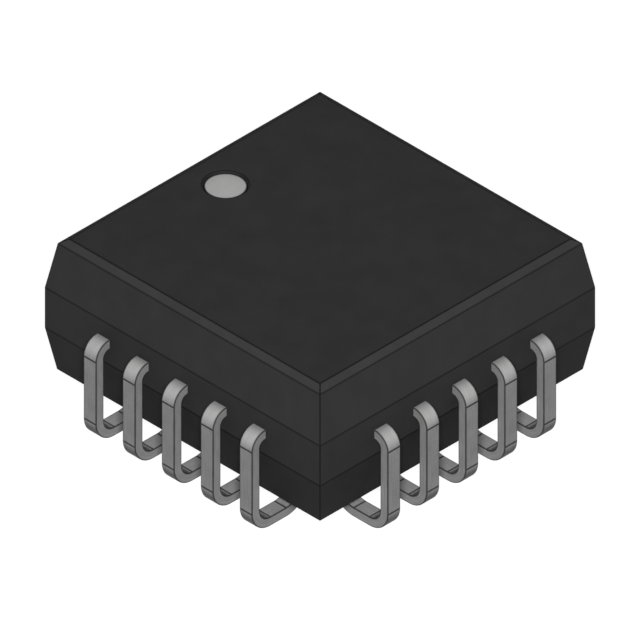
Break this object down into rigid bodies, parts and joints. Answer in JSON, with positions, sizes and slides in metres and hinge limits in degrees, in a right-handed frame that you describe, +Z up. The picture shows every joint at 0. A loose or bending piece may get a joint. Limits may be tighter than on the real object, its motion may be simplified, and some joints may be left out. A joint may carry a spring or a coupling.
{
  "type": "leaded chip carrier",
  "caption": "Surface-mount integrated circuit in a square black moulded case, with J-shaped tinned leads along every side and a light dot by the first lead.",
  "frame": {"origin": "middle of the seating plane under the lead feet", "axes": "+Z up through the case; +Y towards the side whose middle lead is the first, marked by the dot; leads are numbered anticlockwise seen from above"},
  "size_m": [0.01, 0.01, 0.0045],
  "materials": {
    "moulded_epoxy": "fine matt grain from the mould",
    "marking_ink": "matt",
    "tin_plate": "satin tin plate on copper alloy",
    "copper_alloy": "bare stamped strip",
    "silver_adhesive": "matt",
    "silicon": "polished, opaque",
    "gold_wire": "drawn"
  },
  "bodies": {
    "root": {"body": "moulded_epoxy", "pin_1_dot": "marking_ink", "lead_1": "tin_plate", "lead_2": "tin_plate", "lead_3": "tin_plate", "lead_4": "tin_plate", "lead_5": "tin_plate", "lead_6": "tin_plate", "lead_7": "tin_plate", "lead_8": "tin_plate", "lead_9": "tin_plate", "lead_10": "tin_plate", "lead_11": "tin_plate", "lead_12": "tin_plate", "lead_13": "tin_plate", "lead_14": "tin_plate", "lead_15": "tin_plate", "lead_16": "tin_plate", "lead_17": "tin_plate", "lead_18": "tin_plate", "lead_19": "tin_plate", "lead_20": "tin_plate", "die_pad": "copper_alloy", "die_attach": "silver_adhesive", "silicon_die": "silicon", "bond_wire_1": "gold_wire", "bond_wire_2": "gold_wire", "bond_wire_3": "gold_wire", "bond_wire_4": "gold_wire", "bond_wire_5": "gold_wire", "bond_wire_6": "gold_wire", "bond_wire_7": "gold_wire", "bond_wire_8": "gold_wire", "bond_wire_9": "gold_wire", "bond_wire_10": "gold_wire", "bond_wire_11": "gold_wire", "bond_wire_12": "gold_wire", "bond_wire_13": "gold_wire", "bond_wire_14": "gold_wire", "bond_wire_15": "gold_wire", "bond_wire_16": "gold_wire", "bond_wire_17": "gold_wire", "bond_wire_18": "gold_wire", "bond_wire_19": "gold_wire", "bond_wire_20": "gold_wire"}
  },
  "joints": []
}
